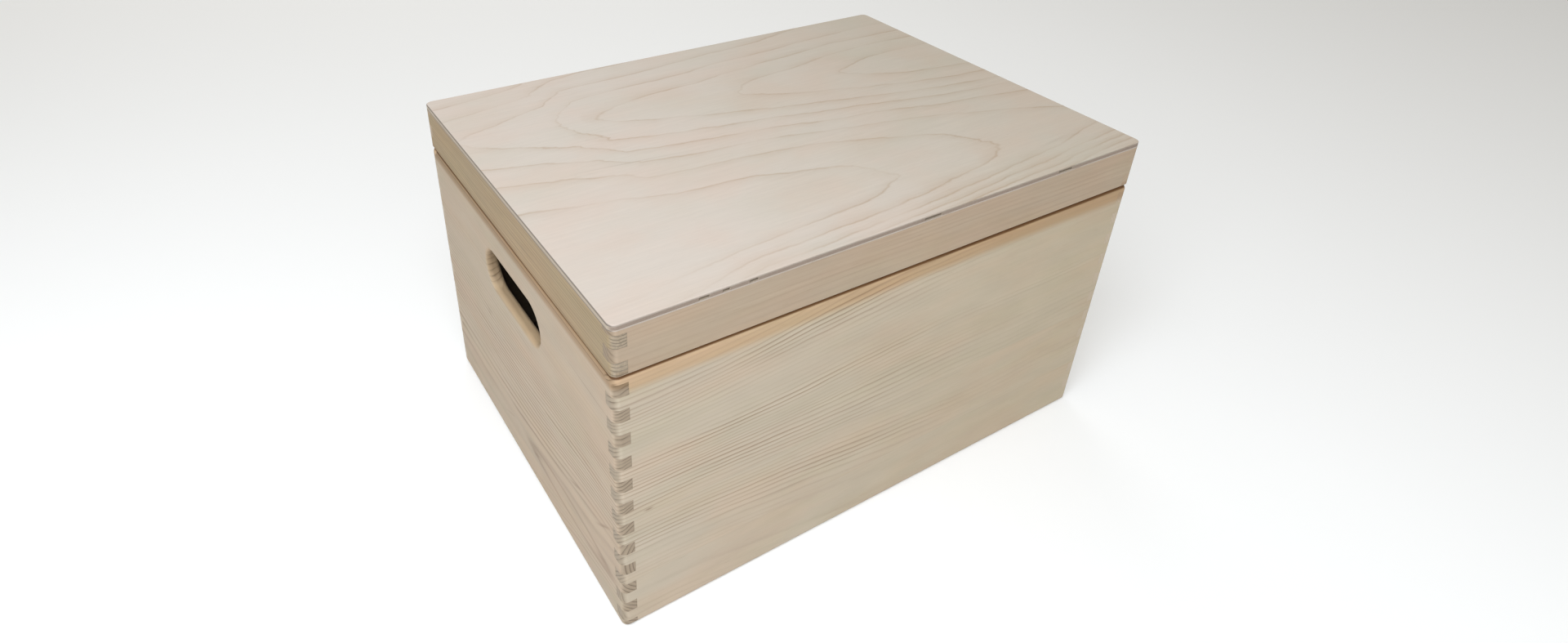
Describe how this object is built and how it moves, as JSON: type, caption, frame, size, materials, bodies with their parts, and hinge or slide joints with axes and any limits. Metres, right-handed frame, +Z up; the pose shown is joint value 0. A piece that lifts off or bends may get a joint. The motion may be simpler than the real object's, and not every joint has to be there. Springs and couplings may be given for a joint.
{
  "type": "wooden toy box with hinged lid",
  "caption": "Finger-jointed pine box with a hinged plywood-topped lid and a rounded hand hole in each short side, for storing toys.",
  "frame": {"origin": "on the surface the box stands on, under the middle of the four walls", "axes": "+X along the long side to the right, +Y to the back where the hinges are, +Z up"},
  "size_m": [0.4, 0.2974, 0.233],
  "materials": {
    "pine": "sanded, unfinished",
    "plywood": "sanded, unfinished",
    "brass": "satin",
    "steel": "bright wire"
  },
  "bodies": {
    "box": {"front_board": "pine", "back_board": "pine", "left_board": "pine", "right_board": "pine", "bottom_panel": "plywood", "bottom_brads": "steel", "left_hinge_body_leaf": "brass", "left_hinge_body_screws": "brass", "left_hinge_pin": "brass", "right_hinge_body_leaf": "brass", "right_hinge_body_screws": "brass", "right_hinge_pin": "brass"},
    "lid": {"lid_front_rail": "pine", "lid_back_rail": "pine", "lid_left_rail": "pine", "lid_right_rail": "pine", "lid_top_panel": "plywood", "left_hinge_lid_leaf": "brass", "left_hinge_lid_screws": "brass", "right_hinge_lid_leaf": "brass", "right_hinge_lid_screws": "brass"}
  },
  "joints": [
    {"name": "lid_hinge", "type": "hinge", "parent": "box", "child": "lid", "pos_m": [0, 0.1487, 0.19945], "axis": [-1, 0, 0], "range_deg": [0, 186]}
  ]
}
